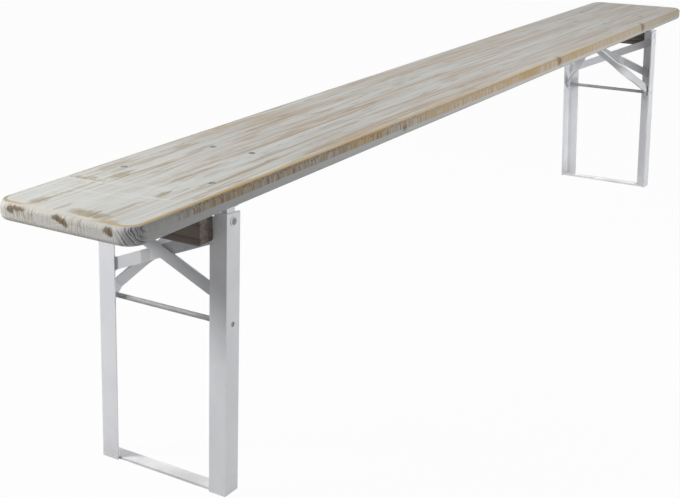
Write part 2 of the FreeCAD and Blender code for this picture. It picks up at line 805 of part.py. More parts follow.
def make_arm(end, sign):
    """One twisted flat of the brace: eye on the rod, twist, rivet hole at the tip."""
    name = f"{end}_{side_name(end, sign)}_brace_arm"
    radius, thick = S["arm_width"].value / 2, S["arm_thick"].value
    outer = (leg_inside - S["arm_gap"]).value
    low = outer - thick if sign > 0 else -outer
    straight = S["arm_straight"].value
    eye = Part.makeCylinder(radius, thick, Vector(0, low, 0), Vector(0, 1, 0))
    eye = eye.fuse(Part.makeBox(2 * radius, thick, straight, Vector(-radius, low, 0)))
    twisted = Part.makeLoft(arm_sections(sign), True, True)
    tip_z = (brace_length - S["arm_cross"]).value
    lap = S["arm_lap"].value
    base_x = lap if sign > 0 else -lap - thick
    tip = Part.makeCylinder(radius, thick, Vector(base_x, 0, tip_z), Vector(1, 0, 0))
    shape = eye.fuse([twisted, tip]).removeSplitter()
    rod = Part.makeCylinder(rod_hole.value / 2, 4 * outer, Vector(0, -2 * outer, 0),
                            Vector(0, 1, 0))
    rivet = Part.makeCylinder(S["rivet_dia"].value / 2 + S["running_clear"].value, 8 * thick,
                              Vector(-4 * thick, 0, tip_z), Vector(1, 0, 0))
    item = doc.addObject("Part::Feature", name)
    item.Label = name
    item.Shape = shape.cut([rod, rivet])
    parts[name] = item
    place_brace(item, end)


def make_brace_clip(end):
    """U-shaped clip riveted under the crossed arms; its ears hold the lock bar."""
    body = new_body(f"{end}_brace_clip")
    under = -S["arm_thick"] - 2 * S["arm_lap"]
    floor = under - S["clip_thick"]
    half = S["clip_width"] / 2
    cross_z = brace_length - S["arm_cross"]
    ear_z = brace_length - S["clip_ear"]
    add_pad(body, "plate", "YZ", floor, under,
            rectangle(-half, cross_z - S["clip_back"], half, brace_length - S["ear_round"]),
            [(ZERO, cross_z, S["rivet_dia"] + 2 * S["running_clear"])])
    reach = S["ear_round"]
    ear = ((floor, ear_z), [
        ("line", ZERO, ear_z), ("line", reach, brace_length - S["ear_shoulder"]),
        ("line", reach, brace_length),
        ("arc", -reach, brace_length, ZERO, brace_length, 1),
        ("line", floor, brace_length - reach), ("line", floor, ear_z)])
    pad = add_pad(body, "ear", "XZ", half - S["clip_thick"], half, ear,
                  [(ZERO, brace_length, S["bar_dia"] + 2 * S["running_clear"])])
    mirror_across(body, "ears", "XZ", [pad])
    round_edges(body, "bends", S["bend_round"],
                lambda e: straight_along(e, "z") and near(abs(middle(e).y), half)
                and near(middle(e).x, floor))
    place_brace(body, end)


def make_brace_rivet(end):
    body = new_body(f"{end}_brace_rivet")
    radius, head = S["rivet_dia"] / 2, S["rivet_head"] / 2
    low = -S["arm_thick"] - S["clip_thick"] - 3 * S["arm_lap"]
    high = S["arm_thick"] + 2 * S["arm_lap"]
    sphere = (head * head + S["rivet_high"] * S["rivet_high"]) / (2 * S["rivet_high"])
    tail, end_x = S["rivet_tail"] / 2, low - S["rivet_tail_thick"]
    sketch = new_sketch(body, "rivet", "XY", 0.0)
    add_outline(sketch, (end_x, ZERO), [
        ("line", high + S["rivet_high"], ZERO),
        ("arc", high, head, high + S["rivet_high"] - sphere, ZERO, 1),
        ("line", high, radius), ("line", low, radius), ("line", low, tail),
        ("line", end_x, tail), ("line", end_x, ZERO)])
    turned = body.newObject("PartDesign::Revolution", f"{body.Name}_turned")
    turned.Profile = sketch
    turned.ReferenceAxis = (sketch, ["H_Axis"])
    turned.Angle = 360.0
    # The rivet stands where the arms cross, part way along the brace.
    cross = brace_length - S["arm_cross"]
    place(body, end, rod_x + cross * sine(brace_tilt), ZERO,
          rod_z + cross * cosine(brace_tilt), brace_tilt)


def make_lock_bar(end):
    body = new_body(f"{end}_lock_bar")
    radius, half, cut = S["bar_dia"] / 2, S["bar_length"] / 2, S["bar_chamfer"]
    add_turned(body, "bar", "XY", polygon([
        (ZERO, -half), (radius - cut, -half), (radius, cut - half), (radius, half - cut),
        (radius - cut, half), (ZERO, half)]))
    place(body, end, lock_x, ZERO, lock_z, brace_tilt)


def make_catch(end):
    """Pressed plate under the plank, with two hooked cheeks that hold the lock bar."""
    body = new_body(f"{end}_catch_bracket")
    thick = S["catch_thick"]
    holes = [(-S["catch_bolt_x"], S["catch_bolt_near"], hole_dia),
             (-S["catch_bolt_x"], -S["catch_bolt_far"], hole_dia),
             (-S["latch_pivot_x"], -S["latch_pivot_y"],
              S["pivot_dia"] + 2 * S["running_clear"]),
             (-S["latch_pivot_x"] - S["spring_hole_x"],
              S["spring_hole_y"] - S["latch_pivot_y"],
              S["spring_wire"] + 2 * S["bolt_clear"])]
    add_pad(body, "plate", "XY", -thick, ZERO,
            rectangle(-S["catch_inboard"], -S["catch_far"], S["catch_outboard"],
                      S["catch_near"]), holes)
    round_edges(body, "plan_corners", S["catch_corner"],
                lambda e: straight_along(e, "z")
                and (near(middle(e).y, -S["catch_far"]) or near(middle(e).y, S["catch_near"])))
    # The hooked slot: a round seat at the bar, opening inboard and down.
    seat = S["bar_dia"] / 2 + S["slot_clear"]
    run, fall = cosine(S["slot_angle"]), sine(S["slot_angle"])
    slope = tangent(S["slot_angle"])
    centre = -S["lock_drop"]
    upper = (-seat * fall, centre + seat * run)
    lower = (seat * fall, centre - seat * run)
    jaw_x, lip_x = -S["cheek_inboard"], -S["lip_reach"]
    jaw_z = upper[1] + (jaw_x - upper[0]) * slope
    lip_z = lower[1] + (lip_x - lower[0]) * slope
    deep, heel = -S["cheek_depth"], S["cheek_heel"]
    back = S["cheek_outboard"]
    cheek = ((jaw_x, ZERO), [
        ("line", jaw_x, jaw_z), ("line", upper[0], upper[1]),
        ("arc", lower[0], lower[1], ZERO, centre, -1),
        ("line", lip_x, lip_z), ("line", lip_x, deep), ("line", back - heel, deep),
        ("line", back, deep + heel), ("line", back, ZERO), ("line", jaw_x, ZERO)])
    inside, outside = S["cheek_inside"], S["cheek_inside"] + S["cheek_thick"]
    pad = add_pad(body, "cheek", "XZ", inside, outside, cheek)
    mirror_across(body, "cheeks", "XZ", [pad])
    place(body, end, lock_x, ZERO, underside)


def make_latch(end):
    """Sideways lever: a tooth before the lock bar's end, and a bent finger tab."""
    body = new_body(f"{end}_latch_lever")
    top = -S["catch_thick"] - S["latch_play"]
    low = top - S["latch_thick"]
    boss = S["latch_boss"]
    pivot_y = S["latch_pivot_y"]
    inner = -(S["cheek_inside"] + S["cheek_thick"] + S["face_clear"]) + pivot_y
    outer = pivot_y - S["latch_edge"]
    bar_face = S["latch_pivot_x"] - S["bar_dia"] / 2 - S["face_clear"]
    tab_x = -S["tab_reach"]
    half = S["tab_width"] / 2
    shoulder = S["latch_shoulder"]
    neck = shoulder + S["latch_neck"]
    plate = polygon([
        (tab_x, -half), (-shoulder, -boss), (shoulder, -boss), (neck, outer),
        (bar_face, outer), (bar_face, inner), (neck, inner), (shoulder, boss),
        (-shoulder, boss), (tab_x, half)])
    add_pad(body, "plate", "XY", low, top, plate,
            [(ZERO, ZERO, S["pivot_dia"] + 2 * S["running_clear"])])
    add_pad(body, "tooth", "XY", top - S["tooth_depth"], top,
            rectangle(bar_face - S["tooth_thick"], outer, bar_face, inner))
    add_pad(body, "tab", "XY", low - S["tab_drop"], top,
            rectangle(tab_x, -half, tab_x + S["latch_thick"], half))
    tip = (low - S["tab_drop"]).value
    round_edges(body, "tab_corners", S["tab_round"],
                lambda e: straight_along(e, "x") and near(middle(e).z, tip))
    place(body, end, lock_x - S["latch_pivot_x"], -pivot_y, underside)


def make_latch_pivot(end):
    """Rivet that carries the latch lever and its spring under the catch plate."""
    body = new_body(f"{end}_latch_pivot")
    radius, head = S["pivot_dia"] / 2, S["pivot_head"] / 2
    seat = spring_top - spring_fall - S["spring_wire"] - S["spring_gap"]
    low, rim = seat - S["pivot_head_thick"], S["rim_bevel"]
    add_turned(body, "rivet", "XZ", polygon([
        (ZERO, low), (head - rim, low), (head, low + rim), (head, seat), (radius, seat),
        (radius, -S["seat_gap"]), (ZERO, -S["seat_gap"])]))
    place(body, end, lock_x - S["latch_pivot_x"], -S["latch_pivot_y"], underside)


def wire_along(path, radius):
    """A wire with flat sides that follows a line of points."""
    runs = [(after - before).normalize() for before, after in zip(path, path[1:])]
    side = runs[0].cross(Vector(1, 0, 0)).normalize()
    rings = []
    for number, point in enumerate(path):
        run = runs[max(number - 1, 0)]
        following = runs[min(number, len(runs) - 1)]
        heading = run + following
        ring = []
        for step in range(WIRE_SIDES):
            angle = 2 * math.pi * step / WIRE_SIDES
            spoke = side * math.cos(angle) + run.cross(side) * math.sin(angle)
            # Each corner slides along its run to the plane that halves the bend.
            spoke -= run * (spoke.dot(heading) / run.dot(heading))
            ring.append(point + spoke * radius)
        rings.append(ring)
        side = Rotation(run, following).multVec(side)
    faces = [Part.Face(Part.makePolygon(ring + ring[:1])) for ring in (rings[0], rings[-1])]
    for first, second in zip(rings, rings[1:]):
        for step in range(WIRE_SIDES):
            after = (step + 1) % WIRE_SIDES
            for three in ((first[step], first[after], second[step]),
                          (first[after], second[after], second[step])):
                faces.append(Part.Face(Part.makePolygon([*three, three[0]])))
    shape = Part.makeSolid(Part.makeShell(faces)).removeSplitter()
    return shape if shape.Volume > 0 else shape.reversed()


def touching_angle(x, y, radius, turn):
    """Where a straight line from a point touches a circle about the origin."""
    return math.atan2(y, x) + turn * math.acos(radius / math.hypot(x, y))


def make_latch_spring(end):
    """Torsion spring round the pivot, from the lever's edge to a hole in the catch plate."""
    name = f"{end}_latch_spring"
    half = S["spring_wire"].value / 2
    radius = S["pivot_dia"].value / 2 + S["spring_clear"].value + half
    top, low = spring_top.value - half, (spring_top - spring_fall).value - half
    leg_x = S["spring_leg_x"].value
    leg_y = (S["latch_pivot_y"] - S["latch_edge"] - S["spring_gap"]).value - half
    hole_x, hole_y = -S["spring_hole_x"].value, S["spring_hole_y"].value
    begin = touching_angle(leg_x, leg_y, radius, -1)
    finish = touching_angle(hole_x, hole_y, radius, 1)
    whole = 2 * math.pi
    travel = (begin - finish) % whole + whole * S["spring_turns"].value
    count = round(travel / whole * COIL_STEPS)
    path = [Vector(leg_x, leg_y, top)]
    for step in range(count + 1):
        share = step / count
        angle = begin - travel * share
        path.append(Vector(radius * math.cos(angle), radius * math.sin(angle),
                           top + (low - top) * share))
    path += [Vector(hole_x, hole_y, low), Vector(hole_x, hole_y, -S["catch_thick"].value / 2)]
    item = doc.addObject("Part::Feature", name)
    item.Label = name
    item.Shape = wire_along(path, half)
    parts[name] = item
    place(item, end, lock_x - S["latch_pivot_x"], -S["latch_pivot_y"], underside)


make_plank()
for end in ("left", "right"):
    make_batten(end)
    make_batten_screws(end)
    make_strap(end)
    make_bolts(f"{end}_hinge_bolts", end, strap_x,
               (-hinge_bolt_y, hinge_bolt_y), S["strap_thick"])
    make_catch(end)
    make_bolts(f"{end}_catch_bolts", end, lock_x - S["catch_bolt_x"],
               (-S["catch_bolt_far"], S["catch_bolt_near"]), S["catch_thick"])
    make_latch_pivot(end)
    make_latch_spring(end)
    make_latch(end)
    for sign in (1, -1):
        make_upright(end, sign)
        make_arm(end, sign)
    make_foot(end)
    make_cross_strips(end)
    make_rod(end)
    make_rod_spacers(end)
    make_hinge_pins(end)
    make_brace_clip(end)
    make_brace_rivet(end)
    make_lock_bar(end)

doc.recompute()

for item in doc.Objects:
    if "Invalid" in item.State or "Error" in item.State:
        raise RuntimeError(f"{item.Label} did not recompute: {item.State}")
for name, item in parts.items():
    if item.Shape.isNull() or not item.Shape.isValid() or not item.Shape.Solids:
        raise RuntimeError(f"{name} has no valid solid")

os.makedirs("parts", exist_ok=True)
for name, item in parts.items():
    item.Shape.exportStep(f"parts/{name}.step")
    print(name, len(item.Shape.Solids), round(item.Shape.Volume, 1))

print("brace length", round(brace_length.value, 3), "brace tilt", round(brace_tilt.value, 3))
print("hinge", round(hinge_x.value, 3), round(hinge_z.value, 3))
print("rod", round(rod_x.value, 3), round(rod_z.value, 3))
print("lock", round(lock_x.value, 3), round(lock_z.value, 3))
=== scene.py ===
# %% [markdown]
# A folding bench: one long whitewashed plank on two pale grey steel legs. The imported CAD
# model gives every piece its true shape and place, so it is loaded first and nothing in
# it is moved. What follows is looks: camera, light, finishes and the weld beads.

import math

import bpy
from mathutils import Euler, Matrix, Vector


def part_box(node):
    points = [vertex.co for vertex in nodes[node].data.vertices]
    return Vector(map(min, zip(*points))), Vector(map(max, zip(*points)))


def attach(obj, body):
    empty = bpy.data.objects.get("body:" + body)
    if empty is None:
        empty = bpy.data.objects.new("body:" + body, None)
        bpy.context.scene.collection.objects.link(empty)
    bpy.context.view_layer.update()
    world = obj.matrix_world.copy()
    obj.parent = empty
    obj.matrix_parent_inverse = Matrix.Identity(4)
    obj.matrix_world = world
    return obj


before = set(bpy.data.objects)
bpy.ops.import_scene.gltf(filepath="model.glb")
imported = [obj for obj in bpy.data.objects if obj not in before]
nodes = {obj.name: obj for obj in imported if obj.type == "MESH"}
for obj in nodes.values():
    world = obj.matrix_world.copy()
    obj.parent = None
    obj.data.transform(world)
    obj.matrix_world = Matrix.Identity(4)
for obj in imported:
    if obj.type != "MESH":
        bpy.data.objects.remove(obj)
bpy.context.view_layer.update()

# %% [markdown]
# The camera stands where the photographer's did: beyond the near end of the bench, to
# its front, a little above the seat. Its place was worked out from the edges of the
# plank and the legs, whose real sizes are known. A focal length in image pixels turns
# into a lens by the ratio of sensor width to image width, and a view centre that is a
# few pixels off the middle becomes a small shift.

# %% Camera
IMAGE_WIDE, IMAGE_HIGH = 680, 498
FOCAL_PIXELS = 1186.7
VIEW_CENTRE = (358.3, 242.1)
SENSOR = 36.0

lens = bpy.data.cameras.new("bench_camera")
lens.sensor_width = SENSOR
lens.lens = FOCAL_PIXELS / IMAGE_WIDE * SENSOR
lens.shift_x = (IMAGE_WIDE / 2 - VIEW_CENTRE[0]) / IMAGE_WIDE
lens.shift_y = (VIEW_CENTRE[1] - IMAGE_HIGH / 2) / IMAGE_WIDE
camera = bpy.data.objects.new("bench_camera", lens)
camera.location = (-2.1242, -1.0842, 0.9259)
camera.rotation_euler = Euler([math.radians(a) for a in (70.707, 0.154, -58.303)])
bpy.context.scene.collection.objects.link(camera)
bpy.context.scene.camera = camera
bpy.context.scene.view_settings.view_transform = "Standard"
print("lens", round(lens.lens, 1), "mm")

# %% [markdown]
# Shader maths reads best as sums, so a small class wraps the output of a node: adding,
# multiplying or comparing two wrapped outputs adds the Math node for it. Any other node
# comes from one method that sets the node's own options first and its sockets after.
# Places in the materials are in millimetres, while the scene itself is in metres.


# %% Shader maths as Python sums
MILLIMETRES = 1000.0


class Signal:
    """An output of a shader node that can be added, multiplied or compared."""

    def __init__(self, finish, socket):
        self.finish = finish
        self.socket = socket

    def maths(self, operation, *others):
        values = {place: value for place, value in enumerate([self, *others])}
        return self.finish.node("ShaderNodeMath", {"operation": operation}, values)

    def __add__(self, other):
        return self.maths("ADD", other)

    def __sub__(self, other):
        return self.maths("SUBTRACT", other)

    def __mul__(self, other):
        return self.maths("MULTIPLY", other)

    def __truediv__(self, other):
        return self.maths("DIVIDE", other)

    def __radd__(self, other):
        return self + other

    def __rmul__(self, other):
        return self * other

    def __rsub__(self, other):
        return self * -1.0 + other

    def __abs__(self):
        return self.maths("ABSOLUTE")

    def most(self, other):
        return self.maths("MAXIMUM", other)

    def least(self, other):
        return self.maths("MINIMUM", other)

    def root(self):
        return self.maths("SQRT")

    def rise(self, low, high):
        """0 below low, 1 above high, and a smooth slope between."""
        return self.finish.node(
            "ShaderNodeMapRange", {"interpolation_type": "SMOOTHSTEP"},
            {"Value": self, "From Min": low, "From Max": high})

    def band(self, low, high, soft):
        """1 between low and high, and 0 outside, with soft edges."""
        return self.rise(low - soft, low + soft) * (1 - self.rise(high - soft, high + soft))


class Finish:
    """A material under construction. Its place, x, y and z are in millimetres."""

    def __init__(self, name):
        self.material = bpy.data.materials.new(name)
        self.material.use_nodes = True
        self.tree = self.material.node_tree
        self.tree.nodes.clear()
        coordinates = self.node("ShaderNodeTexCoord", output="Object")
        self.place = self.node("ShaderNodeVectorMath", {"operation": "SCALE"},
                               {0: coordinates, "Scale": MILLIMETRES})
        self.x, self.y, self.z = (
            self.node("ShaderNodeSeparateXYZ", {}, {0: self.place}, output=axis)
            for axis in "XYZ")

    def node(self, kind, options=None, values=None, output=0):
        """A node with its options set and each socket given a value or linked."""
        made = self.tree.nodes.new(kind)
        for name, value in (options or {}).items():
            setattr(made, name, value)
        for key, value in (values or {}).items():
            socket = self.find_socket(made, key)
            if isinstance(value, Signal):
                self.tree.links.new(value.socket, socket)
            else:
                socket.default_value = value
        return Signal(self, made.outputs[output])

    def find_socket(self, made, key):
        """The input with this index, identifier or name."""
        if isinstance(key, int):
            return made.inputs[key]
        for socket in made.inputs:
            if socket.identifier == key:
                return socket
        return made.inputs[key]

    def stretched(self, along, across, up):
        """The place in millimetres, multiplied on each axis."""
        return self.node("ShaderNodeVectorMath", {"operation": "MULTIPLY"},
                         {0: self.place, 1: (along, across, up)})

    def noise(self, along, across, up, detail=3.0, rough=0.55, bend=0.0):
        """Noise whose grains are 1/along mm long, 1/across wide and 1/up high."""
        return self.node("ShaderNodeTexNoise", {}, {
            "Vector": self.stretched(along, across, up), "Scale": 1.0, "Detail": detail,
            "Roughness": rough, "Distortion": bend})

    def mix(self, first, second, share):
        """The first colour where the share is 0, and the second where it is 1."""
        return self.node("ShaderNodeMix", {"data_type": "RGBA"}, {
            "Factor_Float": share, "A_Color": first, "B_Color": second}, output=2)

    def finish(self, colour, roughness, height, relief, **constants):
        """The material, with the height as a bump that is relief metres deep."""
        surface = {"Base Color": colour, "Roughness": roughness}
        surface.update({name.replace("_", " "): value for name, value in constants.items()})
        surface["Normal"] = self.node("ShaderNodeBump", {}, {
            "Height": height, "Distance": relief, "Strength": 1.0})
        shader = self.node("ShaderNodeBsdfPrincipled", {}, surface)
        self.node_output(shader)
        return self.material

    def node_output(self, shader):
        made = self.tree.nodes.new("ShaderNodeOutputMaterial")
        self.tree.links.new(shader.socket, made.inputs["Surface"])


def paint(red, green, blue):
    """A colour seen on a screen, from 0 to 255, as the light that it stands for."""
    def light(value):
        value /= 255
        return value / 12.92 if value <= 0.04045 else ((value + 0.055) / 1.055) ** 2.4
    return (light(red), light(green), light(blue), 1.0)


def dress(material, *names):
    """The material takes the place of what the named pieces had."""
    for name in names:
        nodes[name].data.materials.clear()
        nodes[name].data.materials.append(material)


print("shader helpers ready")

# %% [markdown]
# The plank is painted softwood, worn back so that the brown shows again. Its pattern is
# solid: it is worked out from the place inside the board, so that the growth rings that
# run as long lines on the top curve round the corners and show as arcs on the ends. The
# board's outline as a distance gives the worn lines that follow its edge.

# %% Places on the plank
PLANK_HALF_LONG, PLANK_HALF_WIDE = 1100.0, 125.0
PLANK_CORNER = 28.0
PLANK_TOP = 460.0
PLANK_LOW = 433.0

board = Finish("whitewashed_plank")
corner_x = abs(board.x) - (PLANK_HALF_LONG - PLANK_CORNER)
corner_y = abs(board.y) - (PLANK_HALF_WIDE - PLANK_CORNER)
over_x, over_y = corner_x.most(0.0), corner_y.most(0.0)
inset = ((over_x * over_x + over_y * over_y).root()
         + corner_x.most(corner_y).least(0.0) - PLANK_CORNER)
on_top = board.z.rise(PLANK_TOP - 1.6, PLANK_TOP - 0.4)
on_side = (1 - on_top) * board.z.rise(PLANK_LOW + 1.0, PLANK_LOW + 3.0)
near_end = 1 - board.x.rise(-1099.0, -1092.0)
print("plank outline ready")

# %% [markdown]
# Growth rings are noise along one number only: how far a point lies from the pith, the
# middle of the tree, which here runs along the board a little below it. Slow noise
# along the board bends them, and a knot pulls the lines round itself. A knot is given by
# its place and its size.

# %% Growth rings and knots
PITH_Y, PITH_Z = -18.0, 372.0
RING_WANDER = 46.0
RING_RATE = 0.34
KNOTS = [(-424.0, -123.0, 447.0, 9.0), (247.0, -122.0, 452.0, 15.0),
         (779.0, -121.0, 451.0, 16.0)]


def spot(finish, x, y, z, size, long=1.0):
    """1 at a place and falling to 0 at twice the size away from it."""
    offset = finish.node("ShaderNodeVectorMath", {"operation": "SUBTRACT"},
                         {0: finish.place, 1: (x, y, z)})
    shaped = finish.node("ShaderNodeVectorMath", {"operation": "MULTIPLY"},
                         {0: offset, 1: (1 / (size * long), 1 / size, 1 / size)})
    far = finish.node("ShaderNodeVectorMath", {"operation": "LENGTH"}, {0: shaped},
                      output="Value")
    return 1 - far.rise(0.0, 2.0)


wander = board.noise(0.0016, 0.006, 0.006, detail=2.0) - 0.5
pull = 0.0
knot_core = 0.0
for x, y, z, size in KNOTS:
    pull = pull + spot(board, x, y, z, size * 1.5, long=1.6) * size * 1.7
    knot_core = knot_core + spot(board, x, y, z, size * 0.5, long=1.3)
from_pith = (board.y - PITH_Y) * (board.y - PITH_Y) + (board.z - PITH_Z) * (board.z - PITH_Z)
ring_place = from_pith.root() + wander * RING_WANDER + pull
rings = board.node("ShaderNodeTexNoise", {"noise_dimensions": "1D"}, {
    "W": ring_place, "Scale": RING_RATE, "Detail": 2.0, "Roughness": 0.7})
late_wood = rings.rise(0.5, 0.68)
print("rings and", len(KNOTS), "knots")

# %% [markdown]
# The wash was brushed on, sanded and worn. Clean wash, thin wash where the grain greys
# it, tan wood in long streaks and brown where it is bare all come from noise stretched
# hard along the board, opened up by slower noise, so that worn patches gather in some
# places. Short blotches of brown break the long streaks. The near end stays mostly white.

# %% Streaks in the wash
toward_middle = board.x.rise(-1010.0, -560.0)
toward_far = board.x.rise(-500.0, 300.0)
toward_far_end = board.x.rise(200.0, 800.0)
drift = board.noise(0.0016, 0.012, 0.012, detail=2.0)
broad = board.noise(0.0019, 0.032, 0.032, detail=2.0, bend=0.25)
streak = board.noise(0.0032, 0.12, 0.12, detail=3.0, rough=0.55, bend=0.2)
fine_streak = board.noise(0.0065, 0.42, 0.42, detail=3.0, rough=0.55)
bristle = board.noise(0.012, 1.15, 1.15, detail=2.0)
mauve_mask = (broad * 0.7 + drift * 0.3).rise(0.44, 0.6) * toward_middle
tan_mask = (streak * 0.6 + broad * 0.25 + drift * 0.15 + late_wood * 0.03).rise(0.515, 0.585)
brown_mask = (streak * 0.45 + fine_streak * 0.55).rise(0.55, 0.63)
blotch = board.noise(0.0085, 0.08, 0.08, detail=3.0, rough=0.6, bend=0.4)
blotch_mask = (blotch.rise(0.545, 0.61) * (0.35 + 0.65 * fine_streak.rise(0.4, 0.54))
               * board.x.rise(-1030.0, -930.0) * (1 - 0.5 * toward_far))
white_mask = (streak * 0.5 + fine_streak * 0.5).maths("MULTIPLY", -1.0).rise(-0.45, -0.38)
thin_mask = (bristle * 0.45 + fine_streak * 0.55).rise(0.42, 0.62)
saw_marks = (board.noise(0.42, 0.016, 0.016, detail=2.0).rise(0.55, 0.75)
             * board.noise(0.004, 0.03, 0.03, detail=1.0).rise(0.45, 0.62))
print("streaks ready")

# %% [markdown]
# Two strong strokes of wash and two faint ones cross the near end of the seat. Brown
# shows beside them, near the end and under its rounded edge. These marks are listed
# as ovals: each has a middle and two half sizes, and those on top have a strength. Noise
# pushes their outlines in and out so that they look worn.

# %% Strokes and patches listed as ovals
CROSS_STROKES = [(-966.0, 78.0, 3.2, 62.0, 0.75), (-984.0, -46.0, 3.0, 52.0, 0.7),
                 (-1003.0, 18.0, 5.0, 80.0, 0.35), (-948.0, 8.0, 6.0, 95.0, 0.3)]
TOP_PATCHES = [(-1068.0, 65.0, 17.0, 10.0, 0.7), (-1071.0, 19.0, 16.0, 4.0, 0.55),
               (-1078.0, -32.0, 12.0, 31.0, 0.85), (-921.0, 57.0, 22.0, 8.0, 0.75),
               (-1015.0, 62.0, 55.0, 3.5, 0.45), (-960.0, 82.0, 6.0, 30.0, 0.8),
               (-963.0, -58.0, 14.0, 6.0, 0.75), (-1034.0, -54.0, 30.0, 4.0, 0.4),
               (-1088.0, -79.0, 5.0, 15.0, 0.5), (-880.0, -30.0, 60.0, 5.0, 0.4),
               (-850.0, 74.0, 70.0, 4.0, 0.5)]
END_PATCHES = [(88.0, 452.0, 6.5, 4.5), (76.0, 455.0, 14.0, 2.8), (5.0, 454.5, 8.0, 3.5),
               (-4.0, 451.5, 8.0, 4.0), (-11.0, 448.0, 4.5, 3.5), (-84.0, 452.0, 7.5, 5.0),
               (-88.0, 448.0, 4.5, 3.0)]
push_along = (board.noise(0.03, 0.16, 0.16, detail=4.0, rough=0.65) - 0.5) * 42.0
push_across = (board.noise(0.05, 0.09, 0.09, detail=4.0, rough=0.65) - 0.5) * 17.0
push_up = (board.noise(0.05, 0.4, 0.05, detail=3.0, rough=0.65) - 0.5) * 9.0


def oval(first, half_first, second, half_second, soft):
    """1 in an oval and 0 outside it, from two offsets from its middle in millimetres."""
    first, second = first / half_first, second / half_second
    return 1 - (first * first + second * second).root().rise(1 - soft, 1 + soft)


stroke_mask = 0.0
for x, y, half_wide, half_long, strength in CROSS_STROKES:
    slant = (board.y - y) * 0.12
    stroke_mask = stroke_mask + strength * oval(
        board.x - x + slant + push_along * 0.1, half_wide, board.y - y, half_long, 0.4)
patch_mask = 0.0
for x, y, half_long, half_wide, strength in TOP_PATCHES:
    patch_mask = patch_mask + strength * oval(
        board.x - x + push_along, half_long, board.y - y + push_across, half_wide, 0.45)
end_patch_mask = 0.0
for y, z, half_wide, half_high in END_PATCHES:
    end_patch_mask = end_patch_mask + oval(
        board.y - y + push_across * 0.4, half_wide, board.z - z + push_up, half_high, 0.45)
print("strokes", len(CROSS_STROKES), "patches", len(TOP_PATCHES) + len(END_PATCHES))

# %% [markdown]
# The edge of the seat is worn most. A tan line follows the top arris, where sanding cut
# through the wash; it is widest along the front, cream at the middle of the end and
# faint along the back. Below it the rounded front edge is bare, crossed by short ticks
# of wash that stayed in the saw marks, brown at first and golden farther along. The
# lower half of the edge kept its wash. The board's ends show fine upright fibres, and
# the near front corner cuts across the growth rings.

# %% The worn edge
at_front = 1 - board.y.rise(-112.0, -84.0)
at_back = board.y.rise(84.0, 112.0)
along_front = board.x.rise(-1040.0, -960.0)
far_along = board.x.rise(-560.0, -260.0)
ends_only = corner_x.rise(-6.0, 12.0)
end_middle = ends_only * board.y.band(-62.0, 70.0, 14.0)
slow_edge = board.noise(0.0055, 0.01, 0.01, detail=2.0)
tick = board.noise(0.3, 0.3, 0.02, detail=3.0, rough=0.6)
arris = inset.band(-10.5, -4.0 - 1.5 * ends_only, 0.8) * board.z.rise(455.6, 457.4)
arris = arris * (0.55 + 0.8 * slow_edge).least(1.0) * (1 - at_back * 0.75 * (1 - ends_only))
arris = arris * (1 - 0.5 * toward_far_end)
worn_band = (board.z + 3.5 * far_along).band(447.4, 466.0, 1.0) * at_front
worn_band = worn_band * (1 - on_top) * (1 - ends_only * 0.9)
worn_band = worn_band * (0.2 + 0.8 * along_front)
wash_ticks = tick.rise(0.5, 0.6) * (1 - 0.75 * slow_edge.rise(0.46, 0.58))
dark_ticks = (1 - tick.rise(0.38, 0.47)) * (1 - 0.8 * far_along)
bare_edge = worn_band * (1 - wash_ticks * 0.8)
in_corner = (1 - board.y.rise(-106.0, -90.0)) * ends_only * on_side
end_fibre = board.noise(0.05, 0.62, 0.05, detail=3.0, rough=0.6)
end_ticks = end_fibre.rise(0.48, 0.6) * ends_only * on_side * (1 - in_corner)
fibre_patches = board.noise(0.01, 0.02, 0.01, detail=1.0).rise(0.45, 0.6)
end_ticks = end_ticks * (0.35 + 0.65 * fibre_patches)
END_RING_RATE = 0.6
end_rings = board.node("ShaderNodeTexNoise", {"noise_dimensions": "1D"}, {
    "W": ring_place + push_across * 0.35, "Scale": END_RING_RATE, "Detail": 2.0,
    "Roughness": 0.6})
end_arcs = in_corner * end_rings.rise(0.46, 0.58)
print("edge wear ready")

# %% [markdown]
# The layers are mixed from the whole coat down to bare wood. Raised grain and the
# thickness of the wash become a height, and bare wood is a little smoother than wash.

# %% Whitewashed plank
wash = board.mix(paint(219, 220, 216), paint(203, 203, 199), thin_mask)
wash = board.mix(wash, board.mix(paint(201, 201, 198), paint(186, 186, 182), thin_mask),
                 toward_middle)
colour = board.mix(wash, paint(184, 174, 165), mauve_mask * 0.75)
colour = board.mix(colour, paint(178, 161, 136),
                   tan_mask * (0.35 + 0.4 * toward_middle) * (1 - 0.35 * toward_far))
colour = board.mix(colour, paint(140, 120, 94),
                   brown_mask * (0.15 + 0.35 * toward_middle) * (1 - 0.6 * toward_far))
colour = board.mix(colour, paint(154, 134, 108), blotch_mask * 0.6)
colour = board.mix(colour, paint(212, 212, 209), white_mask * (0.6 - 0.35 * toward_far))
colour = board.mix(colour, paint(165, 155, 138), late_wood * 0.15 * on_top)
colour = board.mix(colour, paint(164, 150, 128), saw_marks * 0.4 * on_top)
broken = 0.6 + 0.4 * fine_streak.rise(0.4, 0.56)
colour = board.mix(colour, paint(148, 128, 92), patch_mask.least(0.9) * broken * on_top)
stroke_cover = stroke_mask * (0.5 + push_up * 0.09 + 0.4 * fine_streak)
colour = board.mix(colour, paint(230, 229, 224), stroke_cover.least(0.85) * on_top)
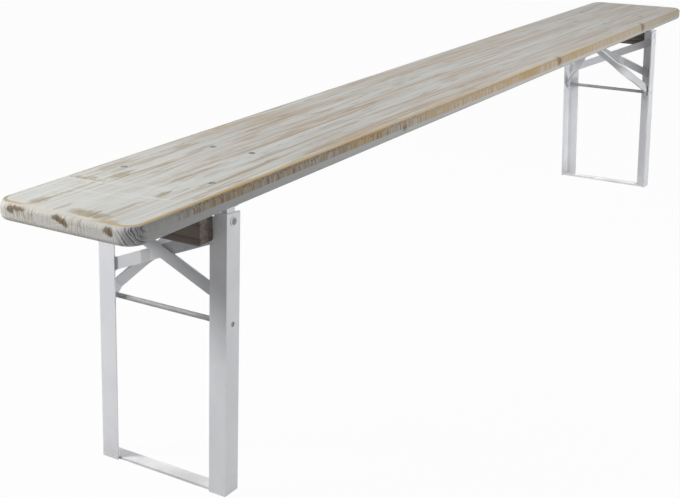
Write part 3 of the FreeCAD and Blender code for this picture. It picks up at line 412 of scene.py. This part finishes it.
# Painted shade: the long sides are a darker grey than the wash, deepest at the near end and
# lighter toward the far end; the ends keep a pale wash.
side_wash_painted_shade = board.mix(paint(156, 157, 157), paint(182, 181, 178), board.x.rise(-800.0, 1000.0))
side_wash_painted_shade = board.mix(side_wash_painted_shade, paint(221, 219, 213), ends_only)
colour = board.mix(colour, side_wash_painted_shade, on_side * 0.9)
colour = board.mix(colour, paint(160, 144, 114), end_ticks * 0.75)
# Painted highlight and painted shade: the rounded front corner is white where it turns onto
# the near end and bluish grey along the side.
corner_highlight_and_shade = board.mix(paint(238, 239, 238), paint(154, 157, 161),
                        board.x.rise(-1094.0, -1080.0))
colour = board.mix(colour, corner_highlight_and_shade, in_corner)
colour = board.mix(colour, paint(88, 84, 78), end_arcs * 0.8)
edge_wood = board.mix(paint(140, 126, 104), paint(164, 142, 108), far_along)
edge_wood = board.mix(edge_wood, paint(158, 134, 92), slow_edge.rise(0.5, 0.62) * 0.8)
edge_wood = board.mix(edge_wood, paint(186, 172, 150), toward_far_end * 0.75)
edge_wood = board.mix(edge_wood, paint(90, 75, 58), dark_ticks * 0.8)
colour = board.mix(colour, edge_wood, bare_edge)
end_brown = board.mix(paint(90, 72, 40), paint(138, 120, 86), end_fibre.rise(0.42, 0.62))
colour = board.mix(colour, end_brown, end_patch_mask.least(0.92) * near_end)
arris_wood = board.mix(paint(200, 170, 122), paint(204, 190, 166), board.x.rise(-900.0, 600.0))
arris_wood = board.mix(arris_wood, paint(224, 214, 196), end_middle)
arris_wood = board.mix(arris_wood, paint(160, 146, 118), at_back)
colour = board.mix(colour, arris_wood, arris)
colour = board.mix(colour, paint(92, 72, 52), knot_core.least(0.85))
height = (0.5 * bristle + 0.7 * fine_streak - 0.5 * tan_mask - 0.4 * brown_mask
          - 0.35 * late_wood - 0.8 * bare_edge - 0.6 * patch_mask + 0.6 * stroke_mask)
roughness = 0.78 - 0.12 * brown_mask - 0.1 * bare_edge
plank_finish = board.finish(colour, roughness, height, relief=0.0004)
dress(plank_finish, "seat_plank")
print("plank dressed")

# %% [markdown]
# The batten under each end is raw softwood gone dark. Its grain runs across the bench.

# %% Dark raw batten
timber = Finish("dark_batten")
grain = timber.noise(0.16, 0.006, 0.22, detail=4.0, rough=0.6, bend=0.5)
pores = timber.noise(0.9, 0.05, 0.9, detail=2.0)
stain = timber.noise(0.02, 0.009, 0.02, detail=2.0)
tone = timber.mix(paint(120, 110, 102), paint(86, 77, 71), grain.rise(0.4, 0.66))
tone = timber.mix(tone, paint(148, 139, 129), stain.rise(0.52, 0.72) * 0.55)
tone = timber.mix(tone, paint(60, 53, 50), pores.rise(0.6, 0.75) * 0.5)
batten_finish = timber.finish(tone, 0.82 - 0.1 * grain, grain + 0.4 * pores, relief=0.0005)
dress(batten_finish, "left_batten", "right_batten")

# %% [markdown]
# The steel is powder coated a pale, slightly bluish grey. The coat is nearly even, with
# a faint orange-peel texture, a little dirt toward the floor, and small scuffs. The flat
# strips and the brace arms get a darker copy of the coat, which is painted shade for the
# plank's shadow over them. The tie rod is a still darker grey that clouds between two
# tones, painted shade for the same shadow.

# %% Powder-coated steel


def powder_coat(name, light, dark):
    """A coat that clouds between two tones, with scuffs and some dirt at the floor."""
    coat = Finish(name)
    peel = coat.noise(0.55, 0.55, 0.55, detail=2.0)
    cloud = coat.noise(0.012, 0.012, 0.012, detail=3.0)
    scuff = coat.noise(0.09, 0.09, 0.014, detail=4.0, rough=0.65).rise(0.66, 0.74)
    low_dirt = (1 - coat.z.rise(4.0, 46.0)) * cloud.rise(0.35, 0.7)
    tint = coat.mix(light, dark, cloud.rise(0.35, 0.65))
    tint = coat.mix(tint, paint(178, 176, 172), scuff * 0.35)
    tint = coat.mix(tint, paint(176, 170, 160), low_dirt * 0.35)
    coat_rough = 0.42 + 0.1 * cloud + 0.2 * scuff
    return coat.finish(tint, coat_rough, peel * 0.5 - scuff * 0.3, relief=0.00012,
                       Specular_IOR_Level=0.45)


coat_finish = powder_coat("powder_coat", paint(238, 239, 242), paint(232, 233, 237))
# Painted shade: the strips and brace arms take a darker copy of the coat.
strip_painted_shade_finish = powder_coat("strip_coat_painted_shade", paint(215, 216, 219), paint(209, 210, 214))
COATED = [f"{end}_{piece}" for end in ("left", "right") for piece in (
    "hinge_strap", "catch_bracket", "front_upright", "rear_upright", "foot_strip",
    "rod_spacers", "hinge_pins", "brace_clip")]
STRIPS = [f"{end}_{piece}" for end in ("left", "right") for piece in (
    "outer_cross_strip", "inner_cross_strip", "front_brace_arm", "rear_brace_arm")]
dress(coat_finish, *COATED)
dress(strip_painted_shade_finish, *STRIPS)

# Painted shade: the tie rod's coat is darker than the legs' to stand in for the plank's
# shadow.
rod = Finish("grey_rod_painted_shade")
rod_clouding = rod.noise(0.2, 0.05, 0.2, detail=3.0)
rod_shaded_tint = rod.mix(paint(172, 173, 174), paint(156, 156, 157), rod_clouding.rise(0.4, 0.65))
rod_painted_shade_finish = rod.finish(rod_shaded_tint, 0.5 + 0.1 * rod_clouding, rod_clouding, relief=0.0001)
dress(rod_painted_shade_finish, "left_tie_rod", "right_tie_rod")
print("coated", len(COATED) + len(STRIPS) + 2, "pieces")

# %% [markdown]
# Screws, rivets and the latch are zinc plated: a dull metal with cloudy patches. The bolt
# heads in the seat are a darker zinc. The spring is plain drawn wire.

# %% Zinc plate and spring wire


def plated(name, light, dark, rough):
    """A bare metal that clouds between two tones, with small brown specks."""
    metal = Finish(name)
    cloudy = metal.noise(0.13, 0.13, 0.13, detail=3.0, rough=0.6)
    speck = metal.noise(0.9, 0.9, 0.9, detail=2.0)
    shade = metal.mix(light, dark, cloudy.rise(0.38, 0.66))
    shade = metal.mix(shade, paint(96, 88, 78), speck.rise(0.68, 0.8) * 0.5)
    return metal.finish(shade, rough + 0.16 * cloudy, speck, relief=0.00005, Metallic=1.0)


zinc_finish = plated("zinc_plate", paint(186, 188, 188), paint(150, 153, 154), 0.3)
bolt_finish = plated("dark_zinc", paint(150, 154, 158), paint(92, 97, 102), 0.4)
wire_finish = plated("spring_wire", paint(130, 131, 134), paint(96, 97, 100), 0.26)
ZINC = [f"{end}_{piece}" for end in ("left", "right") for piece in (
    "batten_screws", "latch_pivot", "latch_lever", "brace_rivet", "lock_bar")]
BOLTS = [f"{end}_{piece}_bolts" for end in ("left", "right") for piece in ("hinge", "catch")]
dress(zinc_finish, *ZINC)
dress(bolt_finish, *BOLTS)
dress(wire_finish, "left_latch_spring", "right_latch_spring")
print("plated", len(ZINC) + len(BOLTS) + 2, "pieces")

# %% [markdown]
# The flat strips are welded to the uprights, and a weld is a row of overlapping drops
# along a seam. That repeats, so Geometry Nodes lay it: a path is divided at one pitch, a
# drop is set on each point, turned along the seam and varied a little in size by a seed,
# and the drops are made real and given the coat, which was sprayed over them.

# %% A node tree that lays weld drops along a path
tree = bpy.data.node_groups.new("weld_bead", "GeometryNodeTree")
for name, kind, default in (("Geometry", "NodeSocketGeometry", None),
                            ("Pitch", "NodeSocketFloat", 0.0014),
                            ("Drop Size", "NodeSocketFloat", 0.0016),
                            ("Seed", "NodeSocketInt", 3),
                            ("Coat", "NodeSocketMaterial", None)):
    socket = tree.interface.new_socket(name, in_out="INPUT", socket_type=kind)
    if default is not None:
        socket.default_value = default
tree.interface.new_socket("Geometry", in_out="OUTPUT", socket_type="NodeSocketGeometry")


def geometry_node(kind, values=None, **options):
    """A node of the weld tree with its options and its sockets set or linked."""
    made = tree.nodes.new(kind)
    for name, value in options.items():
        setattr(made, name, value)
    for key, value in (values or {}).items():
        if isinstance(value, bpy.types.NodeSocket):
            tree.links.new(value, made.inputs[key])
        else:
            made.inputs[key].default_value = value
    return made.outputs


given = geometry_node("NodeGroupInput")
seam = geometry_node("GeometryNodeMeshToCurve", {"Mesh": given["Geometry"]})["Curve"]
points = geometry_node("GeometryNodeResampleCurve",
                       {"Curve": seam, "Length": given["Pitch"]}, mode="LENGTH")["Curve"]
drop = geometry_node("GeometryNodeMeshIcoSphere",
                     {"Radius": given["Drop Size"], "Subdivisions": 2})["Mesh"]
flow = geometry_node("GeometryNodeInputTangent")["Tangent"]
turned = geometry_node("FunctionNodeAlignRotationToVector", {"Vector": flow},
                       axis="X")["Rotation"]
vary = geometry_node("FunctionNodeRandomValue",
                     {"Min": (0.5, 0.85, 0.85), "Max": (0.75, 1.15, 1.15),
                      "Seed": given["Seed"]}, data_type="FLOAT_VECTOR")["Value"]
drops = geometry_node("GeometryNodeInstanceOnPoints", {
    "Points": points, "Instance": drop, "Rotation": turned, "Scale": vary})["Instances"]
real = geometry_node("GeometryNodeRealizeInstances", {"Geometry": drops})["Geometry"]
coated = geometry_node("GeometryNodeSetMaterial",
                       {"Geometry": real, "Material": given["Coat"]})["Geometry"]
geometry_node("NodeGroupOutput", {"Geometry": coated})
print("weld tree", len(tree.nodes), "nodes")

# %% [markdown]
# The seams are given in the leg's own frame, which leans outward by 4.3 degrees: x is
# outboard of the hinge, y across the bench and z up. The left leg is the right one
# turned half round. Each cross strip is welded along both long edges where it lies on
# the upright and over its end, and the foot strip is welded along its ends. The drops
# of the cross strips are sunk a little, and all lengths here are in metres.

# %% Seams of the legs
HINGE_X, HINGE_Z = 0.892, 0.4125
SPLAY = math.radians(4.3)
WEB_INSIDE = 0.0115
STRIP_REACH = 0.107
UPRIGHT_TOE = 0.0905
STRIP_HIGH, OUTER_LOW, INNER_LOW = -0.019, -0.110, -0.1045
STRIP_HALF = 0.0100
DROP_SINK = 0.0006
FOOT_START, FOOT_END = 0.001, 0.0045
FOOT_CLEAR = 0.0001


def leg_place(end, x, y, z):
    """A point of the leaning leg in the bench's frame."""
    out = x * math.cos(SPLAY) - z * math.sin(SPLAY)
    up = x * math.sin(SPLAY) + z * math.cos(SPLAY)
    turn = 1 if end == "right" else -1
    return Vector((turn * (HINGE_X + out), turn * y, HINGE_Z + up))


def strip_seams(low, high_side):
    """Edges of one cross strip on both uprights; it is high on the named side."""
    seams = []
    slope = (STRIP_HIGH - low) / (2 * STRIP_REACH) * high_side
    middle = (low + STRIP_HIGH) / 2
    for side in (-1, 1):
        ends = (side * UPRIGHT_TOE, side * STRIP_REACH)
        for edge in (-STRIP_HALF, STRIP_HALF):
            seams.append([(WEB_INSIDE - DROP_SINK, y, middle + slope * y + edge)
                          for y in ends])
        end_z = middle + slope * side * STRIP_REACH
        seams.append([(WEB_INSIDE - DROP_SINK, side * STRIP_REACH, end_z + edge)
                      for edge in (-STRIP_HALF, STRIP_HALF)])
    return seams


def foot_seams():
    """The ends of the foot strip, level on the floor, as points of the bench's frame."""
    low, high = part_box("right_foot_strip")
    return [[Vector((x, side * (high.y + FOOT_CLEAR), high.z))
             for x in (low.x + FOOT_START, high.x - FOOT_END)]
            for side in (-1, 1)]


for end in ("left", "right"):
    turn = 1 if end == "right" else -1
    paths = [[leg_place(end, *point) for point in seam]
             for low, high_side in ((OUTER_LOW, -1), (INNER_LOW, 1))
             for seam in strip_seams(low, high_side)]
    paths += [[Vector((turn * p.x, turn * p.y, p.z)) for p in seam] for seam in foot_seams()]
    mesh = bpy.data.meshes.new(f"{end}_leg_welds")
    vertices = [point for path in paths for point in path]
    mesh.from_pydata(vertices, [(k, k + 1) for k in range(0, len(vertices), 2)], [])
    welds = bpy.data.objects.new(f"{end}_leg_welds", mesh)
    bpy.context.scene.collection.objects.link(welds)
    laid = welds.modifiers.new("weld_bead", "NODES")
    laid.node_group = tree
    for item in tree.interface.items_tree:
        if item.item_type == "SOCKET" and item.in_out == "INPUT" and item.name == "Coat":
            laid[item.identifier] = coat_finish
    evaluated = welds.evaluated_get(bpy.context.evaluated_depsgraph_get())
    solid = bpy.data.meshes.new_from_object(evaluated)
    welds.modifiers.clear()
    welds.data = solid
    for polygon in solid.polygons:
        polygon.use_smooth = True
    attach(welds, f"{end}_leg")
    print(welds.name, len(paths), "seams", len(solid.polygons), "faces")

# %% [markdown]
# The light is a plain studio's. The strongest lamp stands close to the near end, high to
# the left and behind, so that the outer faces of the near leg are bright while the plank
# shades their tops, and the seat is brightest there. A lamp over the middle, set back a
# little, lights the rest of the seat and the far leg, where the plank shades the front
# upright. A wide lamp before the middle keeps the front edge readable. The rest is weak: a
# distant lamp behind the near one, one from the front left, one low from the right for the
# far end's outer side, and a faint sky, which the camera and reflections see as white.

# %% Lamps and sky


def place_lamp(name, kind, place, aim, energy, **options):
    """A lamp that shines from one point toward another."""
    lamp = bpy.data.lights.new(name, kind)
    lamp.energy = energy
    for option, value in options.items():
        setattr(lamp, option, value)
    holder = bpy.data.objects.new(name, lamp)
    holder.location = place
    holder.rotation_euler = (Vector(place) - Vector(aim)).to_track_quat("Z", "Y").to_euler()
    bpy.context.scene.collection.objects.link(holder)


MIDDLE = (0.0, 0.0, 0.3)
NEAR_LEG = (-0.9, 0.0, 0.3)
FRONT_EDGE = (0.2, 0.0, 0.3)
FAR_SEAT = (0.5, 0.0, 0.4)
place_lamp("distant_lamp", "SUN", (-2.4, 3.4, 3.1), MIDDLE, 0.55, angle=math.radians(16))
place_lamp("left_lamp", "SUN", (-2.5, -4.0, 1.95), MIDDLE, 0.28, angle=math.radians(30))
place_lamp("right_lamp", "SUN", (4.0, 0.9, 0.9), MIDDLE, 1.0, angle=math.radians(30))
place_lamp("near_lamp", "AREA", (-1.71, 1.15, 1.25), NEAR_LEG, 21.5, size=0.5)
place_lamp("front_lamp", "AREA", (0.2, -1.5, 0.7), FRONT_EDGE, 18.0, size=1.0)
place_lamp("middle_lamp", "AREA", (0.0, 0.9, 2.2), FAR_SEAT, 12.5, size=0.8)

SKY_STRENGTH = 0.05
WHITE = (1.0, 1.0, 1.0, 1.0)
world = bpy.data.worlds.new("studio")
bpy.context.scene.world = world
world.use_nodes = True
sky = world.node_tree
sky.nodes.clear()
rays = sky.nodes.new("ShaderNodeLightPath")
level = sky.nodes.new("ShaderNodeMapRange")
level.inputs["To Min"].default_value = SKY_STRENGTH
level.inputs["To Max"].default_value = 1.0
whole = rays.outputs["Is Camera Ray"]
for kind in ("Is Glossy Ray", "Is Transmission Ray"):
    either = sky.nodes.new("ShaderNodeMath")
    either.operation = "MAXIMUM"
    sky.links.new(whole, either.inputs[0])
    sky.links.new(rays.outputs[kind], either.inputs[1])
    whole = either.outputs[0]
sky.links.new(whole, level.inputs["Value"])
backdrop = sky.nodes.new("ShaderNodeBackground")
backdrop.inputs["Color"].default_value = WHITE
sky.links.new(level.outputs[0], backdrop.inputs["Strength"])
sky_out = sky.nodes.new("ShaderNodeOutputWorld")
sky.links.new(backdrop.outputs[0], sky_out.inputs["Surface"])
print("sky", SKY_STRENGTH)

# %% [markdown]
# The floor is a plain matt grey for the light that it throws back. Seen directly it glows
# to the white of the backdrop, and keeps a trace of the bench's shadow.

# %% Floor
FLOOR_SIDE = 60.0
FLOOR_GLOW = 0.97
FLOOR_GREY = (0.5, 0.5, 0.5, 1.0)

bpy.ops.mesh.primitive_plane_add(size=FLOOR_SIDE, location=(0, 0, 0))
floor = bpy.context.object
floor.name = "studio_floor"
ground = Finish("studio_floor")
pale = ground.node("ShaderNodeBsdfDiffuse", {}, {"Color": FLOOR_GREY})
glow = ground.node("ShaderNodeEmission", {}, {"Color": WHITE})
seen, shiny, through = (ground.node("ShaderNodeLightPath", output=f"Is {kind} Ray")
                        for kind in ("Camera", "Glossy", "Transmission"))
ground.node_output(ground.node("ShaderNodeMixShader", {}, {
    0: seen.most(shiny).most(through) * FLOOR_GLOW, 1: pale, 2: glow}))
floor.data.materials.append(ground.material)
